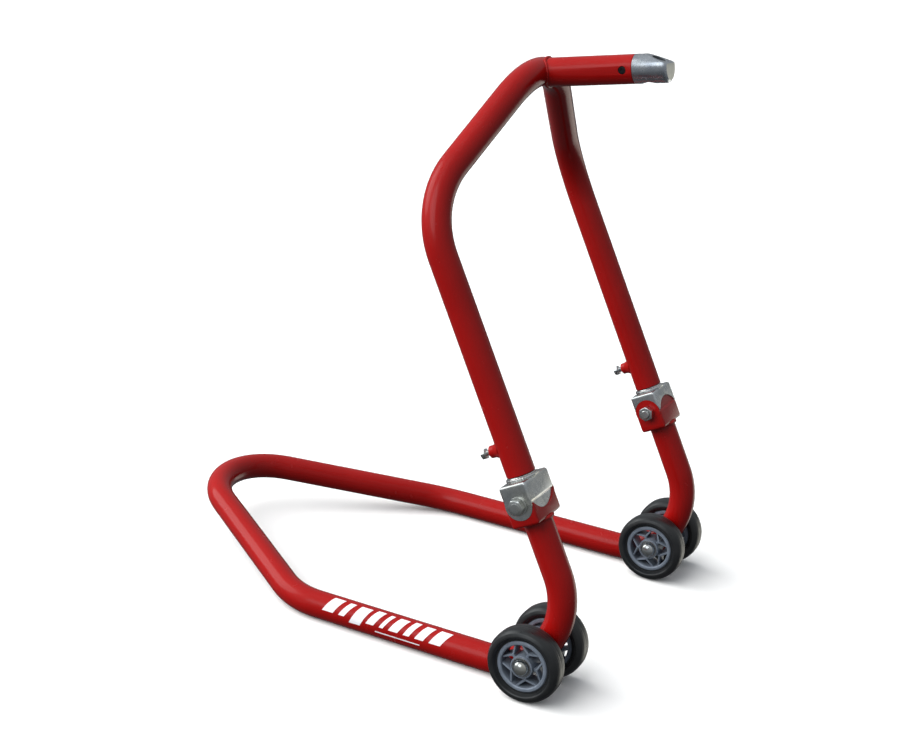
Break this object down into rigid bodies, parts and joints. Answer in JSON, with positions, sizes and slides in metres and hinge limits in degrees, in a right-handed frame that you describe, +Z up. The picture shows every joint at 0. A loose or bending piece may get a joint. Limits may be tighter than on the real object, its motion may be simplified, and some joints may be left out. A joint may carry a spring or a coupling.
{
  "type": "motorcycle paddock stand",
  "caption": "Front paddock stand: a wheeled U-shaped tube base and a leaning, height-adjustable tube frame whose head takes a lifting pin under a motorcycle's steering head.",
  "frame": {"origin": "on the floor, in the middle of the stand's bounding box", "axes": "+Z up, +Y from the handle to the lifting head, +X to the right when standing at the handle and looking at the head"},
  "size_m": [0.571, 0.7033, 0.7905],
  "materials": {
    "red_paint": "glossy red powder coat on steel tube and plate",
    "zinc_plate": "bright zinc plating on steel",
    "bearing_steel": "bare ground steel",
    "tyre_rubber": "satin black solid rubber",
    "rim_plastic": "moulded blue-grey plastic, satin"
  },
  "bodies": {
    "base": {"base_frame": "red_paint", "axle_sleeve_right": "red_paint", "axle_sleeve_left": "red_paint", "axle_right": "zinc_plate", "axle_left": "zinc_plate", "axle_cap_right_outer": "zinc_plate", "axle_cap_right_inner": "zinc_plate", "axle_cap_left_outer": "zinc_plate", "axle_cap_left_inner": "zinc_plate", "lower_bracket_right": "red_paint", "lower_bracket_left": "red_paint", "upper_bracket_right": "zinc_plate", "upper_bracket_left": "zinc_plate", "inner_tube_right": "zinc_plate", "inner_tube_left": "zinc_plate", "clamp_bolt_right": "zinc_plate", "clamp_bolt_left": "zinc_plate", "clamp_washer_right": "zinc_plate", "clamp_washer_left": "zinc_plate", "clamp_nut_right": "zinc_plate", "clamp_nut_left": "zinc_plate"},
    "frame": {"upper_frame": "red_paint", "lock_boss_right": "red_paint", "lock_boss_left": "red_paint", "head_tube": "red_paint", "head_tip": "zinc_plate", "head_tip_screw": "bearing_steel"},
    "lock_right": {"lock_screw_right": "zinc_plate"},
    "lock_left": {"lock_screw_left": "zinc_plate"},
    "wheel_right_outer": {"rim_right_outer": "rim_plastic", "tyre_right_outer": "tyre_rubber", "bearing_right_outer_outside": "bearing_steel", "bearing_right_outer_inside": "bearing_steel"},
    "wheel_right_inner": {"rim_right_inner": "rim_plastic", "tyre_right_inner": "tyre_rubber", "bearing_right_inner_outside": "bearing_steel", "bearing_right_inner_inside": "bearing_steel"},
    "wheel_left_outer": {"rim_left_outer": "rim_plastic", "tyre_left_outer": "tyre_rubber", "bearing_left_outer_outside": "bearing_steel", "bearing_left_outer_inside": "bearing_steel"},
    "wheel_left_inner": {"rim_left_inner": "rim_plastic", "tyre_left_inner": "tyre_rubber", "bearing_left_inner_outside": "bearing_steel", "bearing_left_inner_inside": "bearing_steel"}
  },
  "joints": [
    {"name": "height_slide", "type": "slide", "parent": "base", "child": "frame", "axis": [0, -0.4617, 0.887], "range_m": [0, 0.12]},
    {"name": "lock_screw_travel_right", "type": "slide", "parent": "frame", "child": "lock_right", "axis": [0, -0.887, -0.4617], "range_m": [0, 0.006]},
    {"name": "lock_screw_travel_left", "type": "slide", "parent": "frame", "child": "lock_left", "axis": [0, -0.887, -0.4617], "range_m": [0, 0.006]},
    {"name": "wheel_spin_right_outer", "type": "hinge", "parent": "base", "child": "wheel_right_outer", "pos_m": [0.2622, 0.30172, 0.05], "axis": [1, 0, 0], "continuous": true},
    {"name": "wheel_spin_right_inner", "type": "hinge", "parent": "base", "child": "wheel_right_inner", "pos_m": [0.1848, 0.30172, 0.05], "axis": [1, 0, 0], "continuous": true},
    {"name": "wheel_spin_left_outer", "type": "hinge", "parent": "base", "child": "wheel_left_outer", "pos_m": [-0.2622, 0.30172, 0.05], "axis": [1, 0, 0], "continuous": true},
    {"name": "wheel_spin_left_inner", "type": "hinge", "parent": "base", "child": "wheel_left_inner", "pos_m": [-0.1848, 0.30172, 0.05], "axis": [1, 0, 0], "continuous": true}
  ]
}
